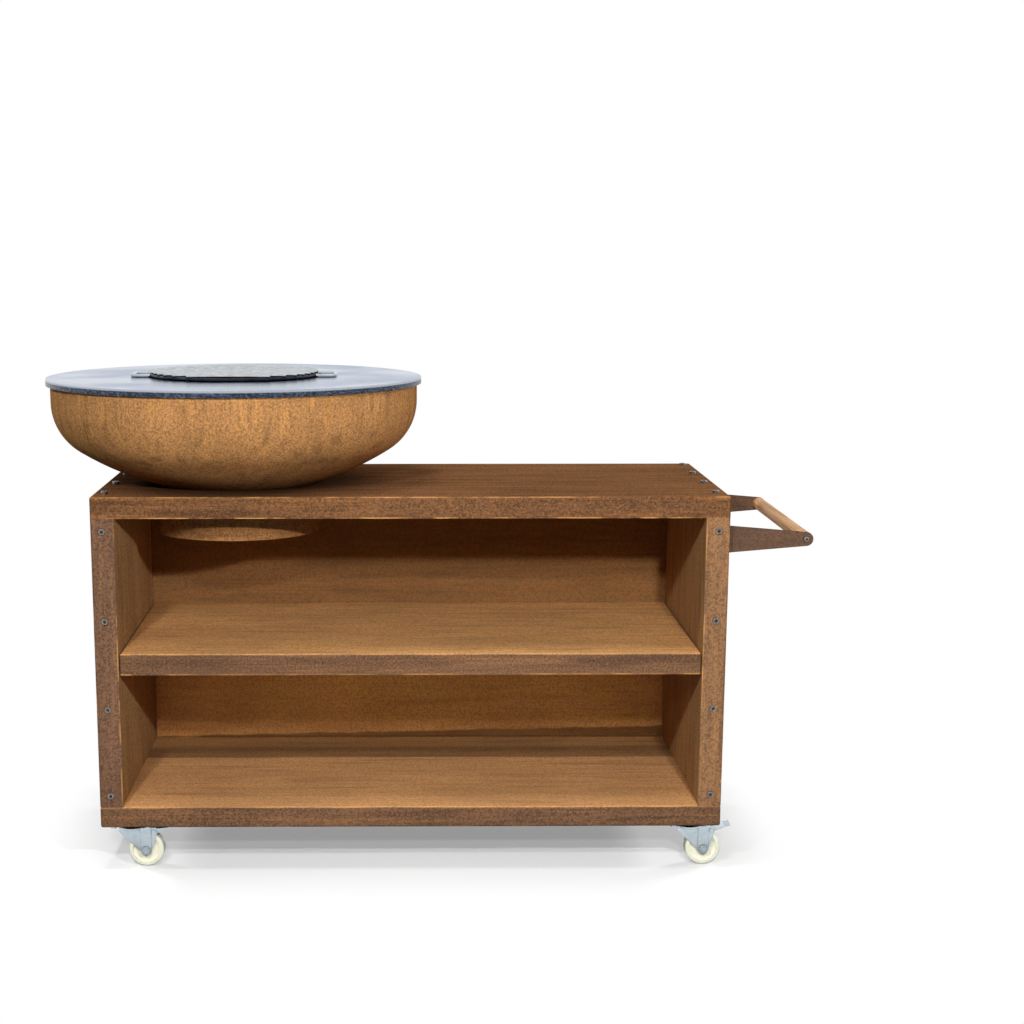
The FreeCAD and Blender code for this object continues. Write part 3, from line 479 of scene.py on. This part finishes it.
# Floor: a wide pale studio sheet, which isn't part of the island.
# Seen by the camera and in reflections it brightens to white away from the island, and it keeps the shadow.
floor_half = 30.0
floor_corners = [(x * floor_half, y * floor_half, 0.0) for x, y in ((-1, -1), (1, -1), (1, 1), (-1, 1))]
floor_mesh = bpy.data.meshes.new("floor")
floor_mesh.from_pydata(floor_corners, [], [(0, 1, 2, 3)])
floor = bpy.data.objects.new("floor", floor_mesh)
scene.collection.objects.link(floor)
pulp_size = 0.4
paper, tree, shader = new_material("studio_paper")
place = add(tree, "ShaderNodeTexCoord").outputs["Object"]
pulp = add(tree, "ShaderNodeTexNoise", {"Vector": place, "Scale": 1 / pulp_size, "Detail": 2.0})
tint = {0: pulp.outputs[0], 6: linear("#f8f8f8"), 7: linear("#fdfdfd")}
tint = add(tree, "ShaderNodeMix", tint, data_type="RGBA")
rays = add(tree, "ShaderNodeLightPath")
mirror_share = 0.8
mirrored = {0: rays.outputs["Is Glossy Ray"], 1: mirror_share}
mirrored = add(tree, "ShaderNodeMath", mirrored, operation="MULTIPLY")
seen = {0: rays.outputs["Is Camera Ray"], 1: mirrored.outputs[0]}
seen = add(tree, "ShaderNodeMath", seen, operation="MAXIMUM")
tint = {0: rays.outputs["Is Camera Ray"], 6: linear("#6a6a6a"), 7: tint.outputs[2]}
tint = add(tree, "ShaderNodeMix", tint, data_type="RGBA")
tree.links.new(tint.outputs[2], shader.inputs["Base Color"])
shader.inputs["Roughness"].default_value = 0.9
shader.inputs["Specular IOR Level"].default_value = 0.1
low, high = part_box("bottom_tray")
middle = (low + high) / 2
half = ((high.x - low.x) / 2, (high.y - low.y) / 2, 1.0)
beyond = {0: place, 1: (middle.x, middle.y, 0.0)}
beyond = add(tree, "ShaderNodeVectorMath", beyond, operation="SUBTRACT")
beyond = add(tree, "ShaderNodeVectorMath", {0: beyond.outputs[0]}, operation="ABSOLUTE")
beyond = add(tree, "ShaderNodeVectorMath", {0: beyond.outputs[0], 1: half}, operation="SUBTRACT")
beyond = {0: beyond.outputs[0], 1: (0.0, 0.0, 0.0)}
beyond = add(tree, "ShaderNodeVectorMath", beyond, operation="MAXIMUM")
reach = add(tree, "ShaderNodeVectorMath", {0: beyond.outputs[0]}, operation="LENGTH").outputs["Value"]
shadow_reach = 0.20
shadow_white = 0.30
white = {"Value": reach, "From Max": shadow_reach, "To Min": shadow_white}
white = add(tree, "ShaderNodeMapRange", white, interpolation_type="SMOOTHSTEP")
white = add(tree, "ShaderNodeMath", {0: white.outputs[0], 1: seen.outputs[0]}, operation="MULTIPLY")
glow = add(tree, "ShaderNodeEmission")
spread = add(tree, "ShaderNodeMixShader", {0: white.outputs[0], 1: shader.outputs[0], 2: glow.outputs[0]})
tree.links.new(spread.outputs[0], tree.nodes["Material Output"].inputs["Surface"])
floor_mesh.materials.append(paper)

# Light: a dim white room that looks white to the camera and in reflections, with lamps round the island.
# A high lamp on the left front gives the main light, and lower ones reach into the open compartments.
# The round lamps stay out of reflections, which show the white room.
room_level = 0.10
world = bpy.data.worlds.new("white_room")
world.use_nodes = True
scene.world = world
tree = world.node_tree
rays = add(tree, "ShaderNodeLightPath")
seen = {0: rays.outputs["Is Camera Ray"], 1: rays.outputs["Is Glossy Ray"]}
seen = add(tree, "ShaderNodeMath", seen, operation="ADD")
seen = {0: seen.outputs[0], 1: rays.outputs["Is Transmission Ray"]}
seen = add(tree, "ShaderNodeMath", seen, operation="ADD", use_clamp=True)
level = add(tree, "ShaderNodeMapRange", {"Value": seen.outputs[0], "To Min": room_level})
tree.links.new(level.outputs[0], tree.nodes["Background"].inputs["Strength"])
tree.nodes["Background"].inputs["Color"].default_value = (1.0, 1.0, 1.0, 1.0)

island_middle = Vector((0.0, -0.3, 0.6))
for name, spot, size, light_level in (
    ("left_high_lamp", (-0.9, -2.6, 2.0), 0.16, 0.46),
    ("right_low_lamp", (0.70, -2.4, 1.50), 0.08, 0.58),
    ("front_lamp", (0.0, -9.3, 4.45), 0.40, 0.26),
    ("top_lamp", (-0.7, -1.2, 4.6), 1.0, 0.30),
    ("back_left_lamp", (-5.5, 3.5, 3.0), 1.4, 0.48),
    ("back_right_lamp", (5.5, 3.5, 3.0), 1.4, 0.48),
):
    lamp = bpy.data.lights.new(name, "AREA")
    lamp.shape = "DISK"
    lamp.size = size
    away = Vector(spot) - island_middle
    lamp.energy = light_level * (math.pi * away.length) ** 2
    holder = bpy.data.objects.new(name, lamp)
    holder.location = spot
    holder.rotation_euler = away.to_track_quat("Z", "Y").to_euler()
    holder.visible_glossy = False
    scene.collection.objects.link(holder)

# Strip lamp: a long low box with a grid, which lights the back of the lower compartment.
# The grid keeps its beam narrow, so the top of the upper compartment stays dark.
lamp = bpy.data.lights.new("low_strip_lamp", "AREA")
lamp.shape = "RECTANGLE"
lamp.size = 1.2
lamp.size_y = 0.05
lamp.spread = math.radians(14)
lamp.energy = 0.37
holder = bpy.data.objects.new("low_strip_lamp", lamp)
holder.location = (-0.02, -3.0, 0.28)
holder.rotation_euler = (math.pi / 2, 0.0, 0.0)
scene.collection.objects.link(holder)

# Camera: almost square on to the open front, a little above the cooking plate.
# The island stands low and left of the middle of the frame, so the frame is shifted to it.
image_side = 1024
focal_pixels = 1846.9
axis_pixel = (420.0, 620.0)
camera_pitch = 0.2047
camera_turn = -0.0098
lens = bpy.data.cameras.new("photo_view")
lens.sensor_width = 36.0
lens.lens = lens.sensor_width * focal_pixels / image_side
lens.shift_x = (image_side / 2 - axis_pixel[0]) / image_side
lens.shift_y = (axis_pixel[1] - image_side / 2) / image_side
camera = bpy.data.objects.new("photo_view", lens)
camera.location = (-0.0456, -4.2924, 1.4127)
camera.rotation_euler = (math.pi / 2 - camera_pitch, 0.0, camera_turn)
scene.collection.objects.link(camera)
scene.camera = camera
scene.view_settings.view_transform = "Standard"
